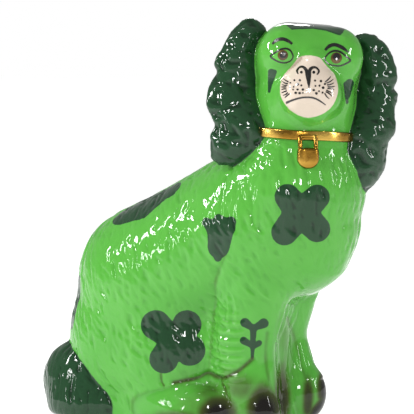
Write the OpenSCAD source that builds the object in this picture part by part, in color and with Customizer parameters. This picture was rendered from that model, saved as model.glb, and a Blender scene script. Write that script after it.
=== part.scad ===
// Seated spaniel, a hollow glazed earthenware mantel figure.
// +X is the way the body faces, -Y is the display side, +Z is up, and the figure stands on z = 0.

/* [Body] */
// Height of the neck joint above the table
neck_h = 222; // [185:1:267]
// Length of the body from the rump to the breast
body_l = 244; // [203:1:293]
// Width of the body across the haunches
body_w = 112; // [94:1:135]
// Thickness of the pressed clay walls
wall = 5; // [3:0.5:7]

/* [Base] */
// Thickness of the slab that closes the body
slab_t = 8; // [5:1:12]
// Diameter of the firing vent in the slab
vent_d = 9; // [6:1:14]
// Distance of the vent behind the middle of the slab
vent_back = 30; // [0:1:45]

/* [Head] */
// Width of the head between the ears
head_w = 84; // [70:1:101]
// Height of the head above the neck joint
head_h = 83; // [69:1:100]
// Depth of the head from the brow to the nape
head_d = 82; // [68:1:98]
// Turn of the head from straight ahead to the display side
head_turn = 57; // [40:1:75]
// Sideways lean of the head
head_lean = 4; // [0:1:8]
// Width of the muzzle
muzzle_w = 45; // [37:1:54]
// Height of the muzzle from the chin to the bridge
muzzle_h = 48; // [40:1:58]
// How far the muzzle stands out from the face
muzzle_out = 17; // [12:1:22]

/* [Ears] */
// Length of the right ear
ear_right_l = 110; // [92:1:130]
// Length of the left ear
ear_left_l = 121; // [101:1:140]
// Width of an ear across its widest lobe
ear_w = 42; // [35:1:50]
// Thickness of an ear
ear_t = 24; // [18:1:30]
// How much closer to the cheek the left ear hangs
ear_left_tuck = 8; // [0:1:10]

/* [Collar] */
// Height of the collar band
band_h = 9; // [6:0.5:14]
// Thickness of the collar band
band_t = 4; // [3:0.5:6]
// Length of the neck opening from front to back
neck_l = 72; // [60:1:87]
// Width of the neck opening from side to side
neck_w = 74; // [62:1:89]

/* [Padlock] */
// Width of the padlock
lock_w = 17; // [12:1:22]
// Height of the padlock
lock_h = 15; // [11:1:20]
// Thickness of the padlock
lock_t = 9; // [6:1:12]
// Diameter of the shackle's rod
rod_d = 3.5; // [2.5:0.5:5]
// Width of the shackle from rod to rod
shackle_w = 9; // [7:0.5:12]
// Drop from the collar to the top of the padlock
shackle_drop = 5; // [4:0.5:8]
// How far the padlock hangs in front of the collar's face
lock_out = 3; // [1:0.5:6]

/* [Legs] */
// Diameter of a foreleg below the chest
foreleg_d = 41; // [34:1:48]
// Distance between the middles of the two forelegs
foreleg_gap = 52; // [43:1:63]
// Length of a forepaw
forepaw_l = 50; // [42:1:60]
// Height of a forepaw
forepaw_h = 32; // [26:1:38]
// Length of a hind paw
hind_paw_l = 74; // [62:1:88]
// Width of a hind paw
hind_paw_w = 34; // [28:1:41]
// Height of a hind paw
hind_paw_h = 32; // [26:1:38]
// Thickness of the wall of hair between the forelegs
web_t = 44; // [36:1:54]

/* [Tail] */
// Length of the curled tail along the ground
tail_l = 80; // [67:1:96]
// Width of the curled tail
tail_w = 66; // [55:1:79]
// Height of the curled tail
tail_h = 66; // [55:1:79]

/* [Hidden] */
$fn = 32;

green = [0.40, 0.78, 0.31];
dark_green = [0.18, 0.29, 0.20];
cream = [0.82, 0.75, 0.68];
gold = [0.72, 0.50, 0.14];
biscuit = [0.86, 0.82, 0.74];

// Where the bulges of the body sit: shares of the body's length, width and height from the middle of the base.
rump = [at(-0.255, 0, 0.26), by(0.222, 0.46, 0.32)];
back = [at(-0.135, 0, 0.49), by(0.288, 0.47, 0.252)];
breast = [at(0.255, 0, 0.675), by(0.272, 0.50, 0.285)];
shoulder = [at(0.325, -0.03, 0.82), by(0.205, 0.44, 0.185)];
haunch_right = [at(-0.09, -0.215, 0.25), by(0.21, 0.285, 0.25)];
haunch_left = [at(-0.09, 0.215, 0.25), by(0.21, 0.285, 0.25)];

// The neck joint is an upright oval, turned with the head.
neck_at = at(0.355, -0.05, 1);
neck_fn = 48;

// The slab's outline: three round lobes inside the foot of the body.
slab_lobes = [[-0.25, 0.34], [-0.06, 0.38], [0.08, 0.32]];
foot_h = 36;

// Forelegs: their middles, and how far the paws are set forward of them.
foreleg_x = 0.205 * body_l;
right_paw_ahead = 8;
left_paw_ahead = 17;

cut = 1000;
skin = 0.01;

function at(x, y, z) = [x * body_l, y * body_w, z * neck_h];
function by(x, y, z) = [x * body_l, y * body_w, z * neck_h];
function shrunk(bulge, t) = [bulge[0], [for (r = bulge[1]) r - t]];
function oval(l, w, n) = [for (i = [0:n - 1]) [l / 2 * cos(360 * i / n), w / 2 * sin(360 * i / n)]];

// A scaled ball: [centre, half sizes]
module ball(bulge) {
    translate(bulge[0]) scale(bulge[1]) sphere(1);
}

// Skin stretched over each bulge and the next one
module chain(bulges) {
    for (i = [0:len(bulges) - 2]) hull() {
        ball(bulges[i]);
        ball(bulges[i + 1]);
    }
}

// What the form would have below the table is cut away.
module above_table() {
    intersection() {
        children();
        translate([-cut, -cut, 0]) cube(2 * cut);
    }
}

module on_neck() {
    translate(neck_at) rotate(-head_turn) children();
}

module on_head() {
    on_neck() rotate([-head_lean, 0, 0]) children();
}

// ---- body ----

// The outer form of the body down to a thickness t below its surface
module body_form(t = 0) {
    intersection() {
        union() {
            chain([shrunk(rump, t), shrunk(back, t), shrunk(breast, t)]);
            chain([shrunk(back, t), shrunk(shoulder, t)]);
            chain([shrunk(breast, t), shrunk(shoulder, t)]);
            chain([shrunk(haunch_right, t), shrunk(rump, t)]);
            chain([shrunk(haunch_left, t), shrunk(rump, t)]);
            hull() {
                ball(shrunk(shoulder, t));
                on_neck() scale([neck_l / 2 - t, neck_w / 2 - t, 2 * band_h]) sphere(1);
            }
            hull() {
                linear_extrude(1) offset(wall - t) slab_outline();
                translate([0, 0, foot_h]) linear_extrude(1) offset(-t) slab_outline();
            }
        }
        translate([-cut, -cut, 0]) cube([2 * cut, 2 * cut, neck_h]);
    }
}

module slab_outline() {
    hull() for (lobe = slab_lobes)
        translate([lobe[0] * body_l, 0]) circle(lobe[1] * body_w);
}

module body_shell() {
    difference() {
        body_form();
        intersection() {
            body_form(wall);
            translate([-cut, -cut, slab_t + wall]) cube(2 * cut);
        }
        translate([0, 0, -skin]) linear_extrude(slab_t + wall + 2 * skin) slab_outline();
        neck_seat();
    }
}

module body_near_half() {
    color(green) intersection() {
        body_shell();
        translate([-cut, -2 * cut, -cut]) cube(2 * cut);
    }
}

module body_far_half() {
    color(green) intersection() {
        body_shell();
        translate([-cut, 0, -cut]) cube(2 * cut);
    }
}

module base_slab() {
    color(biscuit) difference() {
        linear_extrude(slab_t) slab_outline();
        translate([-vent_back, 0, -skin]) cylinder(h = slab_t + 2 * skin, d = vent_d);
    }
}

// ---- collar and padlock ----

module collar_form() {
    linear_extrude(band_h, center = true) difference() {
        polygon(oval(neck_l + band_t, neck_w + band_t, neck_fn));
        polygon(oval(neck_l - band_t, neck_w - band_t, neck_fn));
    }
}

// The groove in which the collar sits
module neck_seat() {
    on_neck() collar_form();
}

module collar() {
    color(gold) on_neck() collar_form();
}

// Front of the collar, where the shackle hangs, and the top face of the padlock
collar_front = (neck_l + band_t) / 2;
lock_top = -band_h / 2 - shackle_drop;

module shackle_form() {
    translate([collar_front + lock_out, 0, -band_h / 2]) {
        for (side = [-1, 1]) translate([0, side * shackle_w / 2, -shackle_drop])
            cylinder(h = shackle_drop, d = rod_d);
        rotate([90, 0, 90]) rotate_extrude(angle = 180)
            translate([shackle_w / 2, 0]) circle(d = rod_d);
    }
}

module padlock_shackle() {
    color(gold) difference() {
        on_neck() shackle_form();
        on_neck() linear_extrude(band_h, center = true)
            polygon(oval(neck_l + band_t, neck_w + band_t, neck_fn));
        body_form();
    }
}

// The padlock's plate goes back to the neck's axis, so that it is always seated on the breast.
module padlock_form() {
    radius = lock_w / 2;
    translate([0, 0, lock_top]) rotate([0, 90, 0])
        linear_extrude(collar_front + lock_out + lock_t / 2) hull() {
            translate([0, -radius]) square([radius / 2, lock_w]);
            intersection() {
                translate([lock_h - radius, 0]) circle(radius);
                translate([0, -radius]) square([lock_h, lock_w]);
            }
        }
}

module padlock_body() {
    color(gold) difference() {
        on_neck() padlock_form();
        body_form();
    }
}

// ---- head ----

// Face bulges in the head's own frame: +X is the way the face looks, z = 0 is the neck joint
crown_side = [-0.06 * head_d, 0.16 * head_w, 0.60 * head_h];
crown_size = [0.44 * head_d, 0.34 * head_w, 0.40 * head_h];
jaw = [[0.02 * head_d, 0, 0.34 * head_h], [0.42 * head_d, 0.46 * head_w, 0.36 * head_h]];
brow_at = [0.12 * head_d, 0.22 * head_w, 0.72 * head_h];
cheek_at = [0.12 * head_d, 0.17 * head_w, 0.36 * head_h];
brow_size = [0.25 * head_d, 0.27 * head_w, 0.24 * head_h];
nape = [[0, 0, 0], [neck_l / 2, neck_w / 2, band_h]];

module head_form(t = 0) {
    intersection() {
        on_head() union() {
            hull() {
                for (side = [-1, 1])
                    ball(shrunk([[crown_side[0], side * crown_side[1], crown_side[2]], crown_size], t));
                ball(shrunk(jaw, t));
            }
            hull() for (side = [-1, 1]) {
                ball(shrunk([[brow_at[0], side * brow_at[1], brow_at[2]], brow_size], t));
                ball(shrunk([[brow_at[0], side * cheek_at[1], cheek_at[2]], brow_size], t));
            }
            chain([shrunk(jaw, t), shrunk(nape, t)]);
            chain([shrunk(nape, t), [[crown_side[0], 0, crown_side[2]], crown_size - [t, t, t]]]);
        }
        translate([-cut, -cut, neck_h]) cube(2 * cut);
    }
}

// The seam between face and back runs across the head under the ears.
module head_shell() {
    difference() {
        head_form();
        head_form(wall);
        translate(neck_at) rotate(-head_turn) linear_extrude(4 * wall, center = true)
            polygon(oval(neck_l - 2 * wall, neck_w - 2 * wall, neck_fn));
        neck_seat();
    }
}

module before_seam(side) {
    on_head() translate([side * cut, 0, 0]) cube(2 * cut, center = true);
}

module head_face() {
    color(green) intersection() {
        head_shell();
        before_seam(1);
    }
}

module head_back() {
    color(green) intersection() {
        head_shell();
        before_seam(-1);
    }
}

muzzle_x = 0.40 * head_d;
muzzle_z = 0.42 * head_h;

module muzzle() {
    lips = [
        [muzzle_x, 0, muzzle_z - muzzle_h / 2 + 0.44 * muzzle_h],
        [muzzle_out, muzzle_w / 2, 0.44 * muzzle_h]
    ];
    bridge = [
        [muzzle_x - muzzle_out / 3, 0, muzzle_z + muzzle_h / 2 - muzzle_h / 6],
        [muzzle_out * 0.7, muzzle_w / 4.5, muzzle_h / 6]
    ];
    color(cream) difference() {
        on_head() chain([lips, bridge]);
        head_form();
    }
}

// ---- ears ----

// An ear hangs from the crown as a chain of flat lobes: [out from the cheek, drop, half width, half thickness]
module ear_form(length, side, tuck = 0) {
    drops = [0.12, 0.34, 0.60, 0.76, 0.90];
    widths = [0.62, 0.96, 1.0, 0.88, 0.56];
    outs = [0.46, 0.58, 0.66, 0.64, 0.58];
    lobes = [for (i = [0:4]) [
        [0, side * (outs[i] * head_w - tuck), head_h - drops[i] * length],
        [ear_t / 2 * (1 - 0.1 * i), widths[i] * ear_w / 2, length * (0.13 - 0.01 * i)]
    ]];
    on_head() chain(lobes);
}

module ear_right() {
    color(dark_green) difference() {
        ear_form(ear_right_l, -1);
        head_form();
        body_form();
        neck_seat();
    }
}

module ear_left() {
    color(dark_green) difference() {
        ear_form(ear_left_l, 1, ear_left_tuck);
        head_form();
        body_form();
        neck_seat();
    }
}

// ---- legs ----

// side: -1 for the near leg, +1 for the far one
module foreleg_form(side, ahead) {
    y = side * foreleg_gap / 2;
    half = foreleg_d / 2;
    above_table() {
        chain([
            [[foreleg_x + 5, y, 0.50 * neck_h], [half + 6, half + 1, 0.14 * neck_h]],
            [[foreleg_x, y, 0.30 * neck_h], [half, half, 0.14 * neck_h]],
            [[foreleg_x - 1, y, forepaw_h], [half * 0.95, half * 0.9, forepaw_h * 0.8]]
        ]);
        hull() {
            translate([foreleg_x, y, 0]) scale([half, half * 0.9, forepaw_h * 1.2]) sphere(1);
            translate([foreleg_x + ahead, y, forepaw_h * 0.35])
                scale([forepaw_l / 2, half * 0.95, forepaw_h * 0.65]) sphere(1);
        }
    }
}

module foreleg_right() {
    color(green) difference() {
        foreleg_form(-1, right_paw_ahead);
        body_form();
    }
}

module foreleg_left() {
    color(green) difference() {
        foreleg_form(1, left_paw_ahead);
        body_form();
    }
}

module leg_web() {
    color(green) difference() {
        above_table() hull() {
            translate([foreleg_x + 8, 0, 0.46 * neck_h]) scale([web_t / 2, foreleg_gap / 2, 20]) sphere(1);
            translate([foreleg_x - 6, 0, 0]) cylinder(h = 6, d1 = web_t, d2 = web_t);
        }
        body_form();
        foreleg_form(-1, right_paw_ahead);
        foreleg_form(1, left_paw_ahead);
    }
}

module hind_paw_form(side) {
    above_table() hull() {
        translate([0.02 * body_l, side * 0.36 * body_w, 0.36 * hind_paw_h])
            scale([hind_paw_l / 2, hind_paw_w / 2, 0.64 * hind_paw_h]) sphere(1);
        translate([-0.05 * body_l, side * 0.30 * body_w, 0.3 * hind_paw_h])
            scale([hind_paw_l / 2, hind_paw_w / 2, 0.7 * hind_paw_h]) sphere(1);
    }
}

module hind_paw_right() {
    color(green) difference() {
        hind_paw_form(-1);
        body_form();
        foreleg_form(-1, right_paw_ahead);
    }
}

module hind_paw_left() {
    color(green) difference() {
        hind_paw_form(1);
        body_form();
        foreleg_form(1, left_paw_ahead);
    }
}

// ---- tail ----

module tail() {
    tail_at = at(-0.385, -0.17, 0);
    color(dark_green) difference() {
        above_table() hull() {
            translate(tail_at + [-0.10 * tail_l, 0.15 * tail_w, 0.62 * tail_h])
                scale([0.3 * tail_l, 0.36 * tail_w, 0.38 * tail_h]) sphere(1);
            translate(tail_at + [0, 0, 0.30 * tail_h])
                scale([0.5 * tail_l, 0.5 * tail_w, 0.45 * tail_h]) sphere(1);
        }
        body_form();
    }
}

body_near_half();
body_far_half();
base_slab();
head_face();
head_back();
muzzle();
ear_right();
ear_left();
collar();
padlock_shackle();
padlock_body();
foreleg_right();
foreleg_left();
leg_web();
hind_paw_right();
hind_paw_left();
tail();
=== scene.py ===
# Seated mantel spaniel in green glaze, dressed over the packed clay pieces.
import math
import time

import bmesh
import bpy
import mathutils
import numpy as np
import openvdb
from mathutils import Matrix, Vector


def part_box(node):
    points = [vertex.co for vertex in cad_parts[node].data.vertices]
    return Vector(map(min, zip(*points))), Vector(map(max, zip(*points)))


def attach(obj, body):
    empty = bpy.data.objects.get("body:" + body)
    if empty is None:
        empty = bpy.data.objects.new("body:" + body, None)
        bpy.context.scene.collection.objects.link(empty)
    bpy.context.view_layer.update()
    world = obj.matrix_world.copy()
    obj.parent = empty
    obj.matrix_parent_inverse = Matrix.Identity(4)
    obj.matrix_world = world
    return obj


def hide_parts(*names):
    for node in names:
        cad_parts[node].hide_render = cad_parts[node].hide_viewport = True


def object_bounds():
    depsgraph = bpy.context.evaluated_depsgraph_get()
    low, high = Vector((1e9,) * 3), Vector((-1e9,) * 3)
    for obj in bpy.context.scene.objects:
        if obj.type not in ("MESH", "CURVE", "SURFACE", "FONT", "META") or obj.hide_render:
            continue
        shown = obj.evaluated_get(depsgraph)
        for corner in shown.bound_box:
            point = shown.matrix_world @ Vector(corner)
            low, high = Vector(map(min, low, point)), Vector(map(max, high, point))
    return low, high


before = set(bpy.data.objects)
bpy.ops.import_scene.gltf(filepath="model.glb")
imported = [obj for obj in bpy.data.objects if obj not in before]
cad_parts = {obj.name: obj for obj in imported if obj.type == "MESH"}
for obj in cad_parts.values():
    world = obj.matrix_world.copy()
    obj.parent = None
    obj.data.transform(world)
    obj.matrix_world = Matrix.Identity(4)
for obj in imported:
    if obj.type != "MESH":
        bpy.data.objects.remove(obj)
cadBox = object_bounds()
mm = 0.001  # forms are laid out in millimetres, meshes are in metres

boxes = {}
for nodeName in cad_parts:
    low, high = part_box(nodeName)
    boxes[nodeName] = (np.array(low) / mm, np.array(high) / mm)
    print("node", nodeName, boxes[nodeName][0].round(1), boxes[nodeName][1].round(1))


def boxOf(*names):
    lows = [boxes[name][0] for name in names]
    highs = [boxes[name][1] for name in names]
    return np.min(lows, axis=0), np.max(highs, axis=0)


def newObject(name, data):
    made = bpy.data.objects.new(name, data)
    bpy.context.scene.collection.objects.link(made)
    return made


# the view, the light and the table

# the display side is seen from a little to the right of square, from just under the crown
viewing = {
    "azimuth": 30.0,
    "distance": 4.6,  # in figure heights
    "eyeHeight": 0.88,  # in figure heights
    "aimHeight": 0.533,
    "aimAside": 0.005,
    "frameWidth": 1.033,  # what the frame takes in, in figure heights
}
viewTurn = math.radians(viewing["azimuth"])
toViewer = np.array([math.sin(viewTurn), -math.cos(viewTurn), 0.0])
aside = np.array([math.cos(viewTurn), math.sin(viewTurn), 0.0])
height = cadBox[1][2] - cadBox[0][2]


def makeCamera():
    aim = aside * viewing["aimAside"] * height + np.array([0, 0, viewing["aimHeight"] * height])
    place = aim + toViewer * viewing["distance"] * height
    place[2] = viewing["eyeHeight"] * height
    data = bpy.data.cameras.new("displayCamera")
    data.lens = data.sensor_width * viewing["distance"] / viewing["frameWidth"]
    data.clip_start = 0.05
    data.clip_end = 50
    camera = newObject("displayCamera", data)
    camera.location = place
    look = aim - place
    camera.rotation_euler = mathutils.Vector(look).to_track_quat("-Z", "Y").to_euler()
    bpy.context.scene.camera = camera


lamps = {  # name: (place in heights, size in heights, strength)
    "leftWindow": ((-2.9, -2.1, 2.5), (0.36, 1.1), 9.4),
    "sideWindow": ((-2.4, -2.9, 1.0), (0.13, 0.8), 1.5),
    "highPanel": ((-1.0, -2.6, 3.2), (0.34, 0.34), 4.8),
    "frontPanel": ((1.9, -3.4, 1.6), (0.28, 0.70), 4.6),
    "rightStrip": ((3.3, 0.4, 1.5), (0.22, 1.5), 3.6),
    "backPanel": ((-1.6, 3.0, 2.6), (0.9, 0.9), 2.4),
}
wattsEach = 10  # watts for one of strength, on a figure one metre high
sky = {"light": 0.44, "behind": 1.0}
table = {"reach": 40.0, "grey": 0.92, "roughness": 0.6, "glow": 0.60}


def makeLights():
    centre = mathutils.Vector((0, 0, 0.5 * height))
    for name, (place, size, strength) in lamps.items():
        data = bpy.data.lights.new(name, "AREA")
        data.shape = "RECTANGLE"
        data.size, data.size_y = size[0] * height, size[1] * height
        data.energy = strength * height * height * wattsEach
        lamp = newObject(name, data)
        lamp.location = mathutils.Vector(place) * height
        lamp.rotation_euler = (centre - lamp.location).to_track_quat("-Z", "Y").to_euler()
    world = bpy.data.worlds.new("studio")
    world.use_nodes = True
    nodes, links = world.node_tree.nodes, world.node_tree.links
    background = nodes["Background"]
    background.inputs["Color"].default_value = (1, 1, 1, 1)
    background.inputs["Strength"].default_value = sky["light"]
    # the white paper behind is seen straight but gives no extra light
    behind = nodes.new("ShaderNodeBackground")
    behind.inputs["Color"].default_value = (1, 1, 1, 1)
    behind.inputs["Strength"].default_value = sky["behind"]
    sight, both = nodes.new("ShaderNodeLightPath"), nodes.new("ShaderNodeMixShader")
    links.new(sight.outputs["Is Camera Ray"], both.inputs[0])
    links.new(background.outputs[0], both.inputs[1])
    links.new(behind.outputs[0], both.inputs[2])
    links.new(both.outputs[0], nodes["World Output"].inputs["Surface"])
    bpy.context.scene.world = world
    bpy.context.scene.view_settings.view_transform = "Standard"


def makeTable():
    mesh = bpy.data.meshes.new("table")
    reach = table["reach"]
    mesh.from_pydata([(-reach, -reach, 0), (reach, -reach, 0), (reach, reach, 0), (-reach, reach, 0)],
                     [], [(0, 1, 2, 3)])
    grey = table["grey"]
    material = bpy.data.materials.new("paleTable")
    material.use_nodes = True
    shader = material.node_tree.nodes["Principled BSDF"]
    shader.inputs["Base Color"].default_value = (grey, grey, grey, 1)
    shader.inputs["Roughness"].default_value = table["roughness"]
    shader.inputs["Emission Color"].default_value = (1, 1, 1, 1)
    shader.inputs["Emission Strength"].default_value = table["glow"]
    mesh.materials.append(material)
    newObject("table", mesh)


makeCamera()
makeLights()
makeTable()

# clay forms: soft distance fields, in millimetres


def softUnion(a, b, blend):
    h = np.clip(0.5 + 0.5 * (b - a) / blend, 0.0, 1.0)
    return b + (a - b) * h - blend * h * (1.0 - h)


def turnedBy(points, basis, origin):
    return (points - origin) @ basis


worldBasis = np.eye(3)


def ball(centre, size):
    return {"a": centre, "b": centre, "sizeA": size, "sizeB": size}


def limb(centreA, sizeA, centreB, sizeB):
    return {"a": centreA, "b": centreB, "sizeA": sizeA, "sizeB": sizeB}


def partDistance(points, part):
    a, b = np.array(part["a"], np.float32), np.array(part["b"], np.float32)
    sizeA, sizeB = np.array(part["sizeA"], np.float32), np.array(part["sizeB"], np.float32)
    along = b - a
    length2 = float(along @ along)
    if length2 < 1e-6:
        t = np.zeros((len(points), 1), np.float32)
    else:
        t = np.clip((points - a) @ along / length2, 0, 1)[:, None].astype(np.float32)
    size = sizeA + (sizeB - sizeA) * t
    scaled = (points - a - along * t) / size
    near = np.sqrt((scaled * scaled).sum(axis=1))
    scaled /= size
    far = np.sqrt((scaled * scaled).sum(axis=1))
    return near * (near - 1.0) / np.maximum(far, 1e-5)


def formDistance(points, form):
    local = turnedBy(points, form["basis"], form["origin"]).astype(np.float32)
    if "field" in form:
        return form["field"](local)
    total = None
    for part in form["parts"]:
        distance = partDistance(local, part)
        total = distance if total is None else softUnion(total, distance, form["blend"])
    return total


def formReach(form):
    corners = []
    margin = 10.0
    if "reach" in form:
        lows, highs = [form["reach"][0]], [form["reach"][1]]
    else:
        parts = form["parts"]
        lows = [np.minimum(np.array(p["a"]) - p["sizeA"], np.array(p["b"]) - p["sizeB"]) for p in parts]
        highs = [np.maximum(np.array(p["a"]) + p["sizeA"], np.array(p["b"]) + p["sizeB"]) for p in parts]
    low, high = np.min(lows, axis=0), np.max(highs, axis=0)
    for ix in (0, 1):
        for iy in (0, 1):
            for iz in (0, 1):
                corner = np.array([(low, high)[ix][0], (low, high)[iy][1], (low, high)[iz][2]])
                corners.append(form["basis"] @ corner + form["origin"])
    return np.min(corners, axis=0) - margin, np.max(corners, axis=0) + margin


# the body is laid out for a shell of this size, with the collar's top at this height, and stretched to the
# one in the frame
laidOut = {"long": 244.0, "wide": 114.0, "collarTop": 226.5, "head": 86.0}
bodyLow, bodyHigh = boxOf("body_near_half", "body_far_half")
bodyFit = np.array([(bodyHigh[0] - bodyLow[0]) / laidOut["long"],
                    (bodyHigh[1] - bodyLow[1]) / laidOut["wide"],
                    boxes["collar"][1][2] / laidOut["collarTop"]])


def inBody(x, y, z):
    return [x * bodyFit[0], y * bodyFit[1], z * bodyFit[2]]


def bodyLimb(centreA, sizeA, centreB, sizeB):
    return limb(inBody(*centreA), inBody(*sizeA), inBody(*centreB), inBody(*sizeB))


# the head stands on the neck joint and looks towards the muzzle
neckAt = (boxes["collar"][0] + boxes["collar"][1]) / 2
muzzleAt = (boxes["muzzle"][0] + boxes["muzzle"][1]) / 2
headTurn = math.atan2(muzzleAt[1] - neckAt[1], muzzleAt[0] - neckAt[0])
headLean = math.radians(4.0)
faceAxis = np.array([math.cos(headTurn), math.sin(headTurn), 0.0])
sideAxis = np.array([-math.sin(headTurn), math.cos(headTurn), 0.0])
upAxis = np.array([0.0, 0.0, 1.0])
leanSide = sideAxis * math.cos(headLean) - upAxis * math.sin(headLean)
leanUp = upAxis * math.cos(headLean) + sideAxis * math.sin(headLean)
headBasis = np.stack([faceAxis, leanSide, leanUp], axis=1)
headHigh = boxOf("head_face", "head_back")[1][2] - neckAt[2]
headFit = headHigh / laidOut["head"]


def headBall(centre, size):
    return ball([c * headFit for c in centre], [s * headFit for s in size])


def headLimb(centreA, sizeA, centreB, sizeB):
    return limb([c * headFit for c in centreA], [s * headFit for s in sizeA],
                [c * headFit for c in centreB], [s * headFit for s in sizeB])


rump = ((-62, 0, 58), (53, 51, 71))
back = ((-34, 0, 109), (69, 53, 55))
breast = ((60, 0, 156), (66, 56, 57))
shoulder = ((79, -3, 184), (49, 49, 40))
neck = ((86, -5, 220), (35, 36, 20))

torso = {
    "blend": 9.0,
    "parts": [
        bodyLimb(*rump, *back),
        bodyLimb(*back, *breast),
        bodyLimb(*back, *shoulder),
        bodyLimb(*breast, *shoulder),
        bodyLimb(*shoulder, *neck),
        bodyLimb((-25, -22, 55), (49, 33, 54), (-45, -10, 70), (50, 40, 60)),
        bodyLimb((-25, 22, 55), (49, 33, 54), (-45, 10, 70), (50, 40, 60)),
        bodyLimb((-56, 0, 8), (44, 44, 30), (0, 0, 8), (44, 44, 26)),
        bodyLimb((-10, 0, 45), (40, 38, 60), (29, 0, 60), (26, 36, 62)),
    ],
}
head = {
    "blend": 8.0,
    "parts": [
        headLimb((-8, -14, 50), (34, 27, 35), (-8, 14, 50), (34, 27, 35)),
        headLimb((14, -19, 60), (22, 21, 23), (14, 19, 60), (22, 21, 23)),
        headLimb((12, -13, 28), (23, 20.5, 26), (12, 13, 28), (23, 20.5, 26)),
        headLimb((-2, 0, 24), (37, 38, 26), (0, 0, -6), (36, 37, 20)),
    ],
}
muzzle = {
    "blend": 6.0,
    "parts": [
        headBall((33, 0, 34), (19, 21, 20)),
        headLimb((35, -9, 29), (15, 13, 14), (35, 9, 29), (15, 13, 14)),
        headLimb((33, 0, 42), (15, 12, 14), (31, 0, 56), (11, 9, 9)),
        headBall((31, 0, 17), (14, 13, 9)),
    ],
}


def forelegForm(node, wide, reach, out, pawHigh):
    low, high = boxes[node]
    middle = (low[1] + high[1]) / 2
    column = 50 * bodyFit[0]
    parts = [
        limb([column + 8, middle, 112], [27, 22, 28], [column, middle, 66], [wide, 19.5, 26]),
        limb([column, middle, 66], [wide, 19, 22],
             [column + reach * 0.55, middle, 34], [wide - 0.5, 18.5, 22]),
        limb([column - 1, middle, pawHigh], [wide, 18.5, 22],
             [column + reach, middle + out, pawHigh - 3], [wide - 1, 18.5, 22]),
    ]
    return {"blend": 4.0, "parts": parts}


forelegRight = forelegForm("foreleg_right", 22, 8, -1.5, 19)
forelegLeft = forelegForm("foreleg_left", 20, 21, 0, 25)
web = {
    "blend": 8.0,
    "parts": [
        limb([54, 0, 112], [22, 24, 20], [48, 0, 40], [20, 24, 30]),
        limb([48, 0, 40], [20, 24, 30], [52, 0, 4], [24, 26, 16]),
    ],
}


def hindPawForm(side):
    paw = limb([-8, side * 35, 14], [33, 18.5, 21], [16, side * 41, 12], [26, 15.8, 19])
    return {"blend": 5.0, "parts": [paw]}


hindPawRight = hindPawForm(-1)
hindPawLeft = hindPawForm(1)

tail = {
    "blend": 7.0,
    "parts": [
        limb([-93, -20, 24], [40, 30, 34], [-88, -24, 10], [38, 32, 26]),
        limb([-97, -14, 34], [29, 26, 28], [-95, -8, 46], [20, 18, 18]),
    ],
}

forms = {
    "body": torso, "head": head, "muzzle": muzzle, "foreleg_right": forelegRight,
    "foreleg_left": forelegLeft, "leg_web": web, "hind_paw_right": hindPawRight,
    "hind_paw_left": hindPawLeft, "tail": tail,
}
for formName, form in forms.items():
    inHead = formName in ("head", "muzzle")
    form["basis"] = headBasis if inHead else worldBasis
    form["origin"] = neckAt if inHead else np.zeros(3)


# ears: wavy outlines in the plane across the head, swelling to the middle


def span(p0, p1, p2, p3, steps):
    # one stretch of a smooth curve, from p1 towards p2
    curve = []
    for s in range(steps):
        t = s / steps
        curve.append(0.5 * (2 * p1 + (p2 - p0) * t + (2 * p0 - 5 * p1 + 4 * p2 - p3) * t * t
                            + (3 * p1 - p0 - 3 * p2 + p3) * t ** 3))
    return curve


def smoothLoop(points, steps):
    # a closed curve through given points
    points = np.array(points, float)
    count = len(points)
    curve = []
    for i in range(count):
        curve += span(*(points[(i + k - 1) % count] for k in range(4)), steps)
    return np.array(curve)


def smoothLine(points, steps):
    # an open curve through given points
    points = np.array(points, float)
    padded = np.concatenate([[2 * points[0] - points[1]], points, [2 * points[-1] - points[-2]]])
    curve = []
    for i in range(len(points) - 1):
        curve += span(*padded[i:i + 4], steps)
    return np.array(curve + [points[-1]])


def outlineDistance(points, loop):
    # signed distance to a closed outline, negative inside
    best = np.full(len(points), 1e9)
    inside = np.zeros(len(points), bool)
    for a, b in zip(loop, np.roll(loop, -1, axis=0)):
        edge = b - a
        t = np.clip(((points - a) @ edge) / max(edge @ edge, 1e-9), 0, 1)
        gap = points - a - t[:, None] * edge
        best = np.minimum(best, (gap * gap).sum(axis=1))
        crosses = (a[1] > points[:, 1]) != (b[1] > points[:, 1])
        rise = b[1] - a[1] if abs(b[1] - a[1]) > 1e-9 else 1e-9
        inside ^= crosses & (points[:, 0] < a[0] + (points[:, 1] - a[1]) * edge[0] / rise)
    best = np.sqrt(best)
    return np.where(inside, -best, best)


class Chart:
    # a small map of one value over two directions
    def __init__(self, low, high, step, function):
        self.low, self.step = np.array(low, float), step
        nu, nv = (int((high[i] - low[i]) / step) + 2 for i in (0, 1))
        u = low[0] + step * np.arange(nu)
        v = low[1] + step * np.arange(nv)
        pts = np.stack(np.meshgrid(u, v, indexing="ij"), axis=-1).reshape(-1, 2)
        self.values = function(pts).reshape(nu, nv).astype(np.float32)

    def __call__(self, u, v):
        fu = np.clip((u - self.low[0]) / self.step, 0, self.values.shape[0] - 1.001)
        fv = np.clip((v - self.low[1]) / self.step, 0, self.values.shape[1] - 1.001)
        iu, iv = fu.astype(int), fv.astype(int)
        du, dv = fu - iu, fv - iv
        m = self.values
        return ((m[iu, iv] * (1 - du) + m[iu + 1, iv] * du) * (1 - dv)
                + (m[iu, iv + 1] * (1 - du) + m[iu + 1, iv + 1] * du) * dv)


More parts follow.
